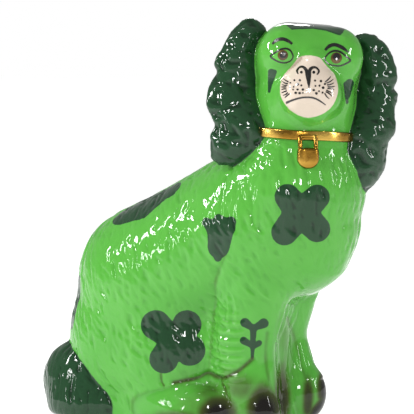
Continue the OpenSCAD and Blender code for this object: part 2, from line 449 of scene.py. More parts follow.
earOutlines = {  # across the head and up from the neck joint
    "ear_right": [(-34, 78), (-46, 85), (-58, 77), (-66, 62), (-70, 50), (-69, 41), (-74, 32), (-75, 20),
                  (-69, 7), (-68, 1), (-71, -8), (-69, -21), (-62, -27), (-50, -25.5), (-39, -19), (-31, -9),
                  (-28.5, 2), (-32, 19), (-34.7, 34), (-35.5, 48), (-36, 64)],
    "ear_left": [(34, 78), (45, 80), (57, 75), (66, 62), (70, 48), (68, 41), (72, 34), (69, 24), (70, 8),
                 (65, -2), (64, -20), (59, -30), (49, -40), (40, -39), (29, -25), (28, -8), (32, 8),
                 (37, 28), (39, 50), (37, 66)],
}
# an ear swells in from its rim, and its lower part swings forward
ear = {"thick": 12.0, "swellIn": 7.0, "swing": 19.0, "swingFrom": 38.0, "swingOver": 36.0, "margin": 12}


def earForm(node):
    loop = smoothLoop(earOutlines[node], 5) * headFit
    low, high = loop.min(axis=0) - ear["margin"], loop.max(axis=0) + ear["margin"]
    chart = Chart(low, high, 0.6, lambda pts: outlineDistance(pts, loop))

    def field(local):
        flat = chart(local[:, 1], local[:, 2])
        swell = ear["thick"] * headFit * (1 - np.exp(np.minimum(flat, 0) / ear["swellIn"]))
        drop = np.clip((ear["swingFrom"] * headFit - local[:, 2]) / (ear["swingOver"] * headFit), 0, 1)
        outward = np.clip((np.abs(local[:, 1]) / headFit - 28) / 45, 0, 1)
        middle = -2.0 + ear["swing"] * headFit * drop * drop * (3 - 2 * drop) * (1 - 0.6 * outward)
        deep = np.abs(local[:, 0] - middle) - swell
        return np.where(flat > 0, np.maximum(flat, np.abs(local[:, 0] - middle)), deep * 0.75)

    return {"blend": 3.0, "field": field, "basis": headBasis, "origin": neckAt,
            "reach": (np.array([-20, low[0], low[1]]), np.array([36, high[0], high[1]]))}


for node in earOutlines:
    forms[node] = earForm(node)

# how softly each form runs into the ones before it
joinBlend = {
    "body": 1.0, "head": 10.0, "muzzle": 7.0, "foreleg_right": 9.0, "foreleg_left": 7.0, "leg_web": 8.0,
    "hind_paw_right": 9.0, "hind_paw_left": 9.0, "tail": 3.0, "ear_right": 3.0, "ear_left": 3.0,
}
voxel = 1.18
emptyField = 30.0  # well clear of the clay


def makeField():
    reaches = [formReach(form) for form in forms.values()]
    low = np.min([r[0] for r in reaches], axis=0)
    high = np.max([r[1] for r in reaches], axis=0)
    low[2] = -4 * voxel
    counts = np.ceil((high - low) / voxel).astype(int) + 1
    field = np.full(counts, emptyField, np.float32)
    axes = [low[i] + voxel * np.arange(counts[i], dtype=np.float32) for i in range(3)]
    for name, form in forms.items():
        reach = formReach(form)
        start = np.maximum(((reach[0] - low) / voxel).astype(int), 0)
        stop = np.minimum(np.ceil((reach[1] - low) / voxel).astype(int) + 1, counts)
        window = tuple(slice(a, b) for a, b in zip(start, stop))
        grid = np.stack(np.meshgrid(*[axes[i][window[i]] for i in range(3)], indexing="ij"), axis=-1)
        distance = formDistance(grid.reshape(-1, 3), form).reshape(grid.shape[:3])
        field[window] = softUnion(field[window], distance, joinBlend[name])
    field = np.maximum(field, -axes[2][None, None, :])  # cut flat where it stands
    return low, field


def meshField(low, field):
    grid = openvdb.FloatGrid(3.0 * voxel)
    grid.copyFromArray(np.clip(field, -3 * voxel, 3 * voxel))
    points, quads = grid.convertToQuads(0.0)
    return points * voxel + low, quads


started = time.time()
gridLow, clayField = makeField()
print("clay field", clayField.shape, round(time.time() - started, 1), "s")
skinPoints, skinQuads = meshField(gridLow, clayField)
print("clay skin", len(skinPoints), "points", round(time.time() - started, 1), "s")


def settle(points, quads, rounds):
    # evens out the small steps that a grid leaves
    edges = np.concatenate([quads[:, [0, 1]], quads[:, [1, 2]], quads[:, [2, 3]], quads[:, [3, 0]]])
    edges = np.concatenate([edges, edges[:, ::-1]])
    count = np.bincount(edges[:, 0], minlength=len(points))[:, None]
    onTable = points[:, 2] < 0.3
    for step in range(rounds):
        total = np.stack([np.bincount(edges[:, 0], weights=points[edges[:, 1], k], minlength=len(points))
                          for k in range(3)], axis=1)
        moved = points * 0.5 + 0.5 * total / count
        moved[onTable] = points[onTable]
        points = moved
    return points


def pointNormals(points, quads):
    across = np.cross(points[quads[:, 2]] - points[quads[:, 0]], points[quads[:, 3]] - points[quads[:, 1]])
    normals = np.zeros_like(points)
    for k in range(4):
        for axis in range(3):
            normals[:, axis] += np.bincount(quads[:, k], weights=across[:, axis], minlength=len(points))
    return normals / np.maximum(np.linalg.norm(normals, axis=1, keepdims=True), 1e-9)


skinPoints = settle(skinPoints.astype(float), skinQuads, 2)
skinNormals = pointNormals(skinPoints, skinQuads)
if (skinNormals * (skinPoints - skinPoints.mean(axis=0))).sum() < 0:
    skinQuads = skinQuads[:, ::-1]
    skinNormals = -skinNormals

# which piece of clay each point belongs to
formNames = list(forms)
nearness = np.stack([formDistance(skinPoints, forms[name]) for name in formNames], axis=1)
owner = np.argmin(nearness, axis=1)
headLocal = turnedBy(skinPoints, headBasis, neckAt) / headFit
print("owners", {name: int((owner == i).sum()) for i, name in enumerate(formNames)})


def owned(*names):
    return np.isin(owner, [formNames.index(name) for name in names])


# The painter works from one fixed spot in front of the display side, so marks are set out on an
# upright plane through the middle of the base and carried to the clay along the painter's sight.
figureHigh = height / mm
painterAside = viewing["aimAside"] * figureHigh
painterAway = viewing["distance"] * figureHigh
painterUp = viewing["eyeHeight"] * figureHigh
painter = aside * painterAside + toViewer * painterAway + upAxis * painterUp


def onDisplayPlane(points):
    closer = painterAway / (painterAway - points @ toViewer)
    return np.stack([painterAside + (points @ aside - painterAside) * closer,
                     painterUp + (points[:, 2] - painterUp) * closer], axis=1)


faceMiddle = neckAt + (faceAxis * 35 + upAxis * 42) * headFit
facePlace = onDisplayPlane(faceMiddle[None])[0]
seen = onDisplayPlane(skinPoints)
seenFace = seen - facePlace
facing = skinNormals @ toViewer


# combed relief: every lock is a curved ridge that starts on the clay and follows the combing

lockKinds = {  # length, half width, height, sideways swing, spacing
    "coat": (33.0, 2.4, 1.30, 4.2, 7.2),
    "bib": (26.0, 2.2, 1.1, 1.4, 7.4),
    "ear": (22.0, 3.4, 1.5, 5.0, 8.0),
    "tail": (30.0, 1.9, 1.1, 0.8, 6.8),
    "strand": (36.0, 1.6, 0.9, 0.8, 6.5),
}


def combing(place, kind):
    # the way the hair runs: down the breast and tail, across the ears, and aslant over back and flank
    if kind in ("tail", "strand"):
        return np.array([0.12, 0.0, -1.0])
    if kind == "ear":
        return sideAxis * 0.9 - upAxis * 0.45
    if kind == "bib":
        return np.array([0.15, 0.0, -1.0])
    rise = np.clip(place[2] / (200.0 * bodyFit[2]), 0, 1)
    return np.array([0.50 - 0.18 * rise, 0.0, -0.8])


def raiseLocks(points, normals, kinds, seed):
    rng = np.random.default_rng(seed)
    tree = mathutils.kdtree.KDTree(len(points))
    for i, p in enumerate(points):
        tree.insert(p, i)
    tree.balance()
    risen = np.zeros(len(points))
    for kindIndex, (kind, (length, halfWidth, high, swing, spacing)) in enumerate(lockKinds.items()):
        mine = np.flatnonzero(kinds == kindIndex)
        if not len(mine):
            continue
        shuffled = rng.permutation(mine)
        cells = np.floor(points[shuffled] / spacing).astype(int)
        _, first = np.unique(cells, axis=0, return_index=True)
        roots = shuffled[first]
        for root in roots:
            place, normal = points[root], normals[root]
            flow = combing(place, kind)
            flow = flow + rng.normal(0, 0.09, 3)
            flow -= normal * (flow @ normal)
            norm = np.linalg.norm(flow)
            if norm < 0.15:
                flow = np.cross(normal, [0, 1, 0])
                norm = np.linalg.norm(flow) + 1e-9
            flow /= norm
            across = np.cross(normal, flow)
            size = rng.uniform(0.75, 1.2)
            long, wide = length * size, halfWidth * rng.uniform(0.85, 1.2)
            bend = swing * rng.choice([-1.0, 1.0]) * rng.uniform(0.5, 1.2)
            middle = place + flow * long / 2
            found = [i for _, i, _ in tree.find_range(middle, long / 2 + wide)]
            if not found:
                continue
            found = np.array(found)
            gap = points[found] - place
            t = (gap @ flow) / long
            keep = (t > 0) & (t < 1) & (normals[found] @ normal > 0.2)
            found, gap, t = found[keep], gap[keep], t[keep]
            sideways = gap @ across - bend * np.sin(np.pi * t * 1.5)
            taper = np.sin(np.pi * np.clip(t, 0, 1) ** 0.75) ** 0.7
            q = np.abs(sideways) / (wide * (0.35 + 0.65 * taper))
            bump = high * taper * np.clip(1 - q ** 2.0, 0, 1) ** 0.8
            risen[found] = np.maximum(risen[found], bump)
    return risen


kinds = np.full(len(skinPoints), -1)
kindNames = list(lockKinds)
bodyArea = owned("body")
kinds[bodyArea] = kindNames.index("coat")
bib = bodyArea & (skinPoints[:, 2] > 172 * bodyFit[2]) & (skinPoints[:, 0] > 30 * bodyFit[0])
kinds[bib] = kindNames.index("bib")
kinds[owned("ear_right", "ear_left")] = kindNames.index("ear")
kinds[owned("tail")] = kindNames.index("tail")
kinds[owned("leg_web", "foreleg_left") & (skinPoints[:, 2] > 36)] = kindNames.index("strand")
kinds[owned("leg_web")] = kindNames.index("strand")
napeBack = owned("head") & (headLocal[:, 0] < -16) & (headLocal[:, 2] < 60)
kinds[napeBack] = kindNames.index("coat")
lockHeight = raiseLocks(skinPoints, skinNormals, kinds, 7)
print("locks", round(time.time() - started, 1), "s")


def waves(points, length, seed):
    # slow unevenness of hand-pressed clay
    rng = np.random.default_rng(seed)
    total = np.zeros(len(points))
    waveCount = 7
    for k in range(waveCount):
        direction = rng.normal(0, 1, 3)
        direction /= np.linalg.norm(direction)
        pace = 2 * math.pi / (length * rng.uniform(0.7, 1.4))
        total += np.sin(points @ direction * pace + rng.uniform(0, 6.28))
    return total / waveCount


# comb ridges that curve round the near foreleg
comb = {"top": 88.0, "foot": 38.0, "pitch": 6.6, "aside": 16.0, "half": 15.0, "sag": 0.012, "high": 2.1}
level = skinPoints[:, 2]
onFeather = owned("foreleg_right", "body") & (level < comb["top"] + 14) & (level > comb["foot"] - 6)
offMiddle = skinPoints @ aside - comb["aside"]
sideFade = np.clip(1 - np.abs(offMiddle) / comb["half"], 0, 1) ** 0.5
endFade = np.clip((comb["top"] + 8 - level) / 10, 0, 1) * np.clip((level - comb["foot"] + 4) / 8, 0, 1)
phase = (level - comb["sag"] * (offMiddle - 4) ** 2) / comb["pitch"]
feather = comb["high"] * (1 - np.abs(2 * (phase % 1.0) - 1) ** 1.6) * sideFade * endFade
feather = np.where(onFeather & (facing > 0.1), feather, 0.0)

grooves = {  # on the display plane: line, half width, depth, how dark the glaze pools in it as painted shade
    "legBack": ([(16, 127), (8.4, 107), (8.4, 87), (5.4, 56), (2.3, 34)], 2.4, 0.9, 0.25),
    "pawTops": ([(-24, 27.5), (-7, 31), (3, 35), (13, 31), (25, 36), (37, 46)], 2.5, 1.6, 0.50),
    "pawNotch": ([(12, 32), (15, 24), (17.5, 12)], 2.6, 1.5, 0.42),
    "pawHook": ([(-34, 34.5), (-33.5, 29), (-31.5, 25)], 1.5, 0.7, 0.45),
    "webNear": ([(49, 66), (48, 54), (48, 42), (51, 27), (56, 8)], 2.8, 1.1, 0.3),
    "webFar": ([(64, 78), (70, 60), (75, 42), (79, 26), (81, 8)], 3.0, 1.0, 0.3),
}
knuckles = [((28.5, 24), 10.5, 1.7), ((4, 19), 11.5, 1.7)]  # of the near paws: middle, reach, height
legArea = owned("body", "foreleg_right", "foreleg_left", "leg_web", "hind_paw_right") & (facing > 0)


def lineDistance(points, line):
    best = np.full(len(points), 1e9)
    for a, b in zip(np.array(line[:-1], float), np.array(line[1:], float)):
        along = b - a
        t = np.clip((points - a) @ along / (along @ along), 0, 1)
        gap = points - a - t[:, None] * along
        best = np.minimum(best, np.sqrt((gap * gap).sum(axis=1)))
    return best


grooveRelief = np.zeros(len(skinPoints))
grooveShade = np.zeros(len(skinPoints))
for middle, reach, high in knuckles:
    gap = (((seen - np.array(middle)) / reach) ** 2).sum(axis=1)
    grooveRelief += np.where(legArea, high * np.exp(-gap), 0)
# painted shade darkens the glaze along each groove
for line, halfWidth, depth, dark in grooves.values():
    gap = np.where(legArea, lineDistance(seen, smoothLine(line, 6)), 1e9)
    grooveRelief -= depth * np.exp(-(gap / halfWidth) ** 2)
    grooveShade = np.maximum(grooveShade, dark * np.exp(-(gap / (halfWidth * 0.8)) ** 2))

eyes = [((-21.0, 18.4), (9.5, 6.4)), ((21.7, 16.2), (9.5, 6.6))]  # place and half size on the face
eyeForm = {"out": 1.5, "socketSize": 1.45, "socketDeep": 0.25, "socketSoft": 0.25}
crestForm = {"out": 0.9, "half": 2.2}
crestLine = [(-23, 36.6), (-10, 38.2), (3, 38.6), (13, 37.0), (26, 32.6)]
faceArea = owned("head", "muzzle") & (facing > 0)
faceRelief = np.zeros(len(skinPoints))
for place, size in eyes:
    spread = (((seenFace - np.array(place)) / np.array(size)) ** 2).sum(axis=1)
    faceRelief += eyeForm["out"] * np.clip(1 - spread, 0, 1) ** 0.8
    socket = (((seenFace - np.array(place)) / (np.array(size) * eyeForm["socketSize"])) ** 2).sum(axis=1)
    faceRelief -= eyeForm["socketDeep"] * np.exp(-((np.sqrt(socket) - 1) / eyeForm["socketSoft"]) ** 2)
crestGap = lineDistance(seenFace, smoothLine(crestLine, 5))
faceRelief += crestForm["out"] * np.exp(-(crestGap / crestForm["half"]) ** 2)
faceRelief = np.where(faceArea, faceRelief, 0)

uneven = {"coat": (0.55, 34), "face": (0.12, 26), "paws": (0.3, 22)}  # depth and length of the waves
coatDeep, coatLong = uneven["coat"]
relief = lockHeight + feather + coatDeep * waves(skinPoints, coatLong, 3)
smoothFace = owned("head", "muzzle") & ~napeBack
faceDeep, faceLong = uneven["face"]
relief = np.where(smoothFace, faceDeep * waves(skinPoints, faceLong, 5) + faceRelief, relief)
paws = owned("hind_paw_right", "hind_paw_left", "foreleg_right", "foreleg_left") & (skinPoints[:, 2] < 34)
pawDeep, pawLong = uneven["paws"]
relief = np.where(paws, pawDeep * waves(skinPoints, pawLong, 8), relief) + grooveRelief
footFlat = 3.0  # the relief dies out towards the table
relief *= np.clip(skinPoints[:, 2] / footFlat, 0, 1)


def blurred(values, quads, rounds):
    count = np.bincount(quads.ravel(), minlength=len(values))
    for step in range(rounds):
        face = values[quads].mean(axis=1)
        values = np.bincount(quads.ravel(), weights=np.repeat(face, 4), minlength=len(values)) / count
    return values


relief = blurred(relief, skinQuads, 1)
shapedPoints = skinPoints + skinNormals * relief[:, None]
shapedPoints[:, 2] = np.maximum(shapedPoints[:, 2], 0)
# pooled glaze and painted shade: darker in the hollows of the relief, lighter on its ridges
poolingAndShade = np.clip((blurred(relief, skinQuads, 14) - relief) / 0.5, -1, 1)
shapedNormals = pointNormals(shapedPoints, skinQuads)
print("relief", round(time.time() - started, 1), "s")


# painted fields: distances in millimetres, negative under the paint


def dabs(points, strokes, blend=2.0):
    # round-ended strokes: (from, to, radius at the start, radius at the end)
    total = None
    for start, end, firstRadius, lastRadius in strokes:
        start, end = np.array(start, float), np.array(end, float)
        along = end - start
        t = np.clip((points - start) @ along / max(along @ along, 1e-6), 0, 1)
        gap = points - start - t[:, None] * along
        distance = np.sqrt((gap * gap).sum(axis=1)) - (firstRadius + (lastRadius - firstRadius) * t)
        total = distance if total is None else softUnion(total, distance, blend)
    return total


bodyMarks = {  # on the display plane, from the middle of the base
    "breastFlower": [((72, 161.5), (63.5, 172.5), 11.5, 9.8), ((76, 161.5), (86.5, 172), 11.5, 9.8),
                     ((76, 158.5), (86.5, 147.5), 11.5, 10.3), ((72, 158.5), (61.5, 145), 11.5, 10.3)],
    "haunchFlower": [((-27, 63), (-38, 72.5), 9.5, 11.8), ((-21, 63), (-14, 73), 9.5, 11.3),
                     ((-21, 57), (-12, 53), 10.0, 12.3), ((-26, 57), (-32, 46), 10.0, 11.3)],
    "shoulderShield": [((12, 147), (10.5, 133), 10.5, 8.3), ((10.5, 133), (10, 125), 8.3, 3.0),
                       ((1.5, 152.5), (5, 149), 3.8, 5), ((10.5, 156), (11, 150), 3.2, 5),
                       ((20, 153), (18, 149), 4.2, 6)],
    "legSprig": [((37.6, 70), (36.7, 47), 2.7, 1.2), ((37.5, 70), (31.0, 74.5), 2.2, 3.7),
                 ((37.5, 70), (45.5, 74), 2.2, 3.9), ((37, 56), (30, 60.5), 1.7, 3.1),
                 ((37, 55), (42, 58.5), 1.5, 2.4)],
}
faceMarks = {  # on the display plane, from the middle of the face
    "cheekRight": [((-28.9, 6.0), (-30.6, -9.0), 2.7, 1.0), ((-26.2, 6.4), (-29, -2), 1.6, 1.4)],
    "cheekLeft": [((28.4, -3.2), (29.4, -17.5), 2.0, 1.0), ((31.2, -2.6), (29.8, -12), 3.4, 2.0)],
}
bodyBlots = [  # on the clay itself: (from, to, radius at the start, radius at the end)
    ((-54, -26, 153), (-36, -28, 164), 13, 16),
    ((-36, -28, 164), (-13, -28, 176), 16, 9.5),
    ((-99, -31, 101), (-101, -32, 76), 10, 10),
    ((30, 52, 150), (52, 56, 168), 16, 14),
    ((-52, 50, 70), (-30, 54, 52), 18, 15),
    ((-14, 52, 128), (-4, 52, 112), 13, 9),
]
blotUneven = {"deep": 3.4, "long": 30.0}
muzzleOutline = [(-7.5, 17.6), (-11.4, 13), (-14.5, 9.2), (-19.9, 3), (-22.2, -4.7), (-21.4, -13.2),
                 (-16, -21.6), (-8.3, -27), (0.2, -29), (10.2, -26.3), (17.9, -20.1), (22, -10.9), (22, -3.2),
                 (19.4, 4.5), (14.8, 9.2), (10.9, 13.8), (7.9, 17.2), (0.2, 18.8)]

drawn = onDisplayPlane(shapedPoints)
drawnFace = drawn - facePlace
towards = (shapedNormals @ toViewer) > -0.05
unpainted = 60.0  # far outside any mark
away = np.where(towards, 0.0, unpainted)  # marks stay on the side that the painter sees


def apartFrom(name):
    # how far a point is past the border of one form, negative on it
    index = formNames.index(name)
    others = np.delete(nearness, index, axis=1).min(axis=1)
    return (nearness[:, index] - others) * 0.5


darkPaint = np.full(len(shapedPoints), 50.0)
offBody = np.where(owned("body", "foreleg_right"), away, unpainted)
offHead = np.where(owned("head"), away, unpainted)
for strokes in bodyMarks.values():
    darkPaint = np.minimum(darkPaint, dabs(drawn, strokes, 1.2) + offBody)
for strokes in faceMarks.values():
    darkPaint = np.minimum(darkPaint, dabs(drawnFace, strokes, 0.8) + offHead)
blotEdge = blotUneven["deep"] * waves(shapedPoints, blotUneven["long"], 11)
for blot in bodyBlots:
    blot = (np.array(blot[0]) * bodyFit, np.array(blot[1]) * bodyFit, blot[2], blot[3])
    darkPaint = np.minimum(darkPaint, dabs(shapedPoints, [blot]) + blotEdge)
headNow = turnedBy(shapedPoints, headBasis, neckAt) / headFit
crown = {"middle": (4, 1), "half": (38, 25), "fade": 18, "above": 60, "front": -8}
crownAlong = (headNow[:, 0] - crown["middle"][0]) / crown["half"][0]
crownAcross = (headNow[:, 1] - crown["middle"][1]) / crown["half"][1]
crownPatch = (np.sqrt(crownAlong ** 2 + crownAcross ** 2) - 1) * crown["fade"]
crownPatch = np.where(headNow[:, 2] > crown["above"], crownPatch, 50)
crest = np.interp(drawnFace[:, 0], [x for x, y in crestLine], [y for x, y in crestLine])
brow = np.where(headNow[:, 0] > crown["front"], crest - drawnFace[:, 1] + 0.5, -50)
crownPatch = np.maximum(crownPatch, brow)
darkPaint = np.minimum(darkPaint, crownPatch)
# the top of an ear's back stays light, down to a waved brush end
backPaint = {"behind": -4.5, "upTo": 57, "wave": 4.0, "pitch": 3.1}
brushEnd = backPaint["upTo"] + backPaint["wave"] * np.sin(headNow[:, 1] / backPaint["pitch"])
earBack = np.minimum(backPaint["behind"] - headNow[:, 0], headNow[:, 2] - brushEnd)
darkPaint = np.minimum(darkPaint, np.maximum(apartFrom("ear_right"), earBack))
darkPaint = np.minimum(darkPaint, np.maximum(apartFrom("ear_left"), earBack))
darkPaint = np.minimum(darkPaint, apartFrom("tail") - 0.3)

muzzleLoop = smoothLoop(muzzleOutline, 4)
nearMuzzle = (np.abs(drawnFace) < 45).all(axis=1) & towards
creamPaint = np.full(len(shapedPoints), 50.0)
creamPaint[nearMuzzle] = outlineDistance(drawnFace[nearMuzzle], muzzleLoop)

# the kiln-dark toes, with painted shade pooled in the creases between paws and haunch, over the near knuckles
# and towards the foot
darkToesAndShade = np.zeros(len(shapedPoints))


def burn(centre, size):
    gap = (shapedPoints - np.array(centre)) / np.array(size)
    fall = np.clip(1.35 - np.sqrt((gap * gap).sum(axis=1)), 0, 0.7) / 0.7
    return fall * fall * (3 - 2 * fall)


# the dark toes, and painted shade over the near knuckles, in the creases above the paws, between the forelegs
# and towards the foot
toeAndShadeMarks = [  # on the display plane: middle, half size, strength
    ((28.5, 24), (18, 17), 0.42),
    ((4, 19), (20, 15), 0.36),
    ((46, 6), (17, 24), 1.0),
    ((60, 18), (9, 34), 0.75),
    ((94.5, 24), (8, 22), 1.0),
    ((80, 14), (6, 26), 0.6),
    ((10, 2), (19, 20), 1.0),
    ((-24, 0), (36, 9), 0.5),
    ((64, 44), (16, 44), 0.28),
    ((8, 34), (34, 8), 0.20),
    ((20, 0), (92, 38), 0.27),
]
for middle, size, strength in toeAndShadeMarks:
    gap = (drawn - np.array(middle)) / np.array(size)
    fall = np.clip(1.25 - np.sqrt((gap * gap).sum(axis=1)), 0, 1)
    darkToesAndShade = np.maximum(darkToesAndShade, np.where(legArea, strength * fall ** 1.2, 0))
toePlaces = {"foreleg_left": (0.98, 0.6), "hind_paw_left": (0.92, 0.8)}  # along and across the node's box
for node, (fx, fy) in toePlaces.items():
    lo, hi = boxes[node]
    centre = [lo[0] + fx * (hi[0] - lo[0]), lo[1] + fy * (hi[1] - lo[1]), 4]
    darkToesAndShade = np.maximum(darkToesAndShade, burn(centre, (13, 17, 17)))
# painted shade: darker where two forms meet low down, in front of the tail
pawCrease = np.sort(nearness, axis=1)
creaseGap = pawCrease[:, 1] - pawCrease[:, 0]
lowPart = owned("hind_paw_right", "hind_paw_left", "foreleg_right", "foreleg_left", "leg_web", "body")
lowCreaseShade = np.clip(1 - creaseGap / 3.0, 0, 1) * lowPart * np.clip((52 - shapedPoints[:, 2]) / 14, 0, 1)
lowCreaseShade *= shapedPoints[:, 0] > -45
darkToesAndShade = np.maximum(np.maximum(darkToesAndShade, 0.22 * lowCreaseShade), grooveShade)
# painted shade: the glaze darkens where two forms meet, except on the muzzle
jointShade = np.clip(1 - creaseGap / 5.0, 0, 1) * (owner != formNames.index("muzzle"))
poolingAndShade = np.clip(poolingAndShade + 0.7 * jointShade, -1, 1)

# glaze, gilding, biscuit and enamel


def newMaterial(name):
    material = bpy.data.materials.new(name)
    material.use_nodes = True
    return material, material.node_tree.nodes, material.node_tree.links


def mathNode(nodes, links, operation, a, b):
    node = nodes.new("ShaderNodeMath")
    node.operation = operation
    for socket, value in zip(node.inputs, (a, b)):
        if isinstance(value, (int, float)):
            socket.default_value = value
        else:
            links.new(value, socket)
    return node.outputs[0]


def rampBetween(nodes, links, value, low, high):
    node = nodes.new("ShaderNodeMapRange")
    node.interpolation_type = "SMOOTHSTEP"
    links.new(value, node.inputs["Value"])
    node.inputs["From Min"].default_value = low
    node.inputs["From Max"].default_value = high
    return node.outputs[0]


def rampRange(nodes, links, value, low, high, first, last):
    node = nodes.new("ShaderNodeMapRange")
    links.new(value, node.inputs["Value"])
    for label, amount in (("From Min", low), ("From Max", high), ("To Min", first), ("To Max", last)):
        node.inputs[label].default_value = amount
    return node.outputs[0]


def mixColour(nodes, links, factor, a, b):
    node = nodes.new("ShaderNodeMix")
    node.data_type = "RGBA"
    links.new(factor, node.inputs[0])
    for socket, value in ((node.inputs[6], a), (node.inputs[7], b)):
        if isinstance(value, tuple):
            socket.default_value = (*value, 1.0)
        else:
            links.new(value, socket)
    return node.outputs[2]


def noiseOn(nodes, links, scale, detail=2.0, rough=0.5):
    place = nodes.new("ShaderNodeTexCoord")
    noise = nodes.new("ShaderNodeTexNoise")
    noise.inputs["Scale"].default_value = scale
    noise.inputs["Detail"].default_value = detail
    noise.inputs["Roughness"].default_value = rough
    links.new(place.outputs["Object"], noise.inputs["Vector"])
    return noise.outputs["Fac"]


def attributeOf(nodes, name):
    node = nodes.new("ShaderNodeAttribute")
    node.attribute_name = name
    return node.outputs["Fac"]


def bumpOn(nodes, links, shader, height, strength, distance):
    bump = nodes.new("ShaderNodeBump")
    bump.inputs["Strength"].default_value = strength
    bump.inputs["Distance"].default_value = distance
    links.new(height, bump.inputs["Height"])
    links.new(bump.outputs["Normal"], shader.inputs["Normal"])


glaze = {
    "green": (0.063, 0.285, 0.032),
    "greenThin": (0.100, 0.345, 0.058),
    # the pooled colours are pooled glaze and painted shade in hollows and where forms meet
    "greenPooledShade": (0.026, 0.170, 0.012),
    "dark": (0.010, 0.040, 0.015),
    "darkPooledShade": (0.002, 0.012, 0.004),
    "cream": (0.500, 0.420, 0.340),
    "creamThin": (0.560, 0.485, 0.410),
    "creamPooledShade": (0.290, 0.220, 0.160),
    "darkToesAndShade": (0.006, 0.005, 0.004),
    "oliveToesAndShade": (0.035, 0.050, 0.008),
    "roughness": 0.04,
    "unevenGloss": 0.06,
}
glazeSockets = {"IOR": 1.5, "Specular IOR Level": 0.24, "Coat Weight": 0.10, "Coat Roughness": 0.03}


def glazeMaterial():
    material, nodes, links = newMaterial("glazedEarthenware")
    shader = nodes["Principled BSDF"]

    def times(a, b):
        return mathNode(nodes, links, "MULTIPLY", a, b)

    def plus(a, b):
        return mathNode(nodes, links, "ADD", a, b)

    def mixed(factor, a, b):
        return mixColour(nodes, links, factor, a, b)

    def ramp(value, low, high):
        return rampBetween(nodes, links, value, low, high)

    # darker in hollows and where forms meet, as pooled glaze and painted shade, and lighter on ridges
    poolAndShade = attributeOf(nodes, "poolingAndShade")
    cloud = noiseOn(nodes, links, 38.0, 3.0)
    fine = noiseOn(nodes, links, 420.0, 2.0)
    thin = ramp(times(poolAndShade, -1.0), 0.15, 1.0)
    deep = ramp(poolAndShade, 0.05, 1.0)
    cloudy = ramp(cloud, 0.35, 0.75)
    green = mixed(times(cloudy, 0.35), glaze["green"], glaze["greenThin"])
    green = mixed(times(thin, 0.45), green, glaze["greenThin"])
    green = mixed(times(deep, 0.25), green, glaze["greenPooledShade"])
    dark = mixed(times(deep, 0.7), glaze["dark"], glaze["darkPooledShade"])
    cream = mixed(times(cloudy, 0.5), glaze["cream"], glaze["creamThin"])
    cream = mixed(deep, cream, glaze["creamPooledShade"])
    wobble = times(plus(fine, -0.5), 0.5)  # the brush's edge isn't quite sharp
    darkEdge = plus(attributeOf(nodes, "darkPaint"), wobble)
    creamEdge = plus(attributeOf(nodes, "creamPaint"), wobble)
    colour = mixed(ramp(creamEdge, 0.35, -0.35), green, cream)
    colour = mixed(ramp(darkEdge, 0.3, -0.3), colour, dark)
    # the dark toes, and the painted shade in creases, grooves and towards the foot
    toesAndShade = attributeOf(nodes, "darkToesAndShade")
    toesAndShadeCloud = plus(toesAndShade, times(plus(cloud, -0.5), 0.5))
    anyToesAndShade = ramp(toesAndShade, 0.0, 0.15)
    colour = mixed(times(ramp(toesAndShadeCloud, 0.05, 0.60), anyToesAndShade), colour, glaze["oliveToesAndShade"])
    colour = mixed(times(ramp(toesAndShadeCloud, 0.35, 1.0), anyToesAndShade), colour, glaze["darkToesAndShade"])
    links.new(colour, shader.inputs["Base Color"])
    links.new(plus(times(cloud, glaze["unevenGloss"]), glaze["roughness"]), shader.inputs["Roughness"])
    for label, value in glazeSockets.items():
        shader.inputs[label].default_value = value
    bumpOn(nodes, links, shader, noiseOn(nodes, links, 150.0, 2.0), 0.25, 0.0008)
    return material


glazeCoat = glazeMaterial()

# the skin is parted into its pieces of clay

partNodes = ["body_near_half", "body_far_half", "head_face", "head_back", "muzzle", "ear_right", "ear_left",
             "foreleg_right", "foreleg_left", "leg_web", "hind_paw_right", "hind_paw_left", "tail"]

# the slab closes the foot, so the skin stops at its rim
slabPoints = np.array([v.co[:2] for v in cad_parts["base_slab"].data.vertices]) / mm
bearings = np.radians(np.arange(0, 360, 4))
bearings = np.stack([np.cos(bearings), np.sin(bearings)], axis=1)
slabReach = (slabPoints @ bearings.T).max(axis=0)


def insideSlab(points, margin):
    return ((points[:, :2] @ bearings.T) <= slabReach - margin).all(axis=1)


underSlab = (shapedPoints[:, 2] < 0.3) & insideSlab(shapedPoints, 0.0)
shapedPoints[underSlab, 2] += 0.5
footRim = 1.6

quadCentres = skinPoints[skinQuads].mean(axis=1)
quadNearness = nearness[skinQuads].mean(axis=1)
quadOwner = np.argmin(quadNearness, axis=1)
quadHead = turnedBy(quadCentres, headBasis, neckAt)
quadPart = np.zeros(len(skinQuads), int)
overSlab = (quadCentres[:, 2] < 0.6) & insideSlab(quadCentres, footRim)
for index, name in enumerate(formNames):
    mine = quadOwner == index
    if name == "body":
        quadPart[mine] = np.where(quadCentres[mine, 1] < 0, partNodes.index("body_near_half"),
                                  partNodes.index("body_far_half"))
    elif name == "head":
        quadPart[mine] = np.where(quadHead[mine, 0] > 0, partNodes.index("head_face"),
                                  partNodes.index("head_back"))
    else:
        quadPart[mine] = partNodes.index(name)


wallThick = {"muzzle": 2.6, "ear_right": 1.2, "ear_left": 1.2}  # the others are pressed thicker
bodyWall = 3.6
paints = {"darkPaint": darkPaint, "creamPaint": creamPaint, "darkToesAndShade": darkToesAndShade, "poolingAndShade": poolingAndShade}


def walled(points, normals, basePoints, baseNormals, quads, thick):
    # an inner face follows the outer one, and the rim joins them
    count = len(points)
    edges = np.concatenate([quads[:, [0, 1]], quads[:, [1, 2]], quads[:, [2, 3]], quads[:, [3, 0]]])
    forward = edges[:, 0] * count + edges[:, 1]
    backward = edges[:, 1] * count + edges[:, 0]
    rim = edges[~np.isin(forward, backward)]
    inner = basePoints - baseNormals * thick
    rims = np.stack([rim[:, 1], rim[:, 0], rim[:, 0] + count, rim[:, 1] + count], axis=1)
    faces = np.concatenate([quads, quads[:, ::-1] + count, rims])
    return np.concatenate([points, inner]), np.concatenate([normals, -normals]), faces.tolist()


